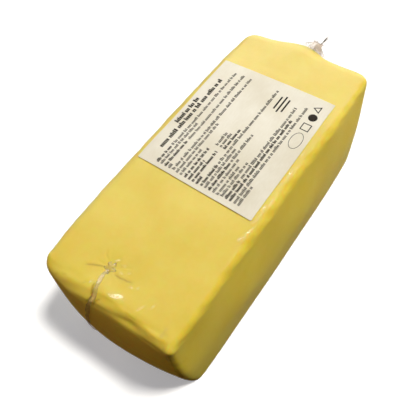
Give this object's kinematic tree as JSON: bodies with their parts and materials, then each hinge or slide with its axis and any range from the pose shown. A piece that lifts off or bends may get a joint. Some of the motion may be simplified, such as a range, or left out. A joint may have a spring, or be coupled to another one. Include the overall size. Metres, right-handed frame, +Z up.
{
  "type": "wrapped mozzarella block",
  "caption": "Long block of pale yellow mozzarella shrunk into a clear film bag, with swollen ends, an end seam, a gathered film tail and a paper label on its top.",
  "frame": {"origin": "on the resting face, below the middle of the block", "axes": "+X across the block to the right of someone facing the seamed end, +Y along the block from the seamed end to the gathered tail, +Z up"},
  "size_m": [0.1083, 0.2525, 0.1013],
  "materials": {
    "cheese": "smooth pale yellow cheese seen through tight clear film",
    "clear_film": "clear glossy shrink film",
    "label_paper": "uncoated ivory paper with dark grey print"
  },
  "bodies": {
    "root": {"wrapped_block": "cheese", "film_tail": "clear_film", "label": "label_paper"}
  },
  "joints": []
}
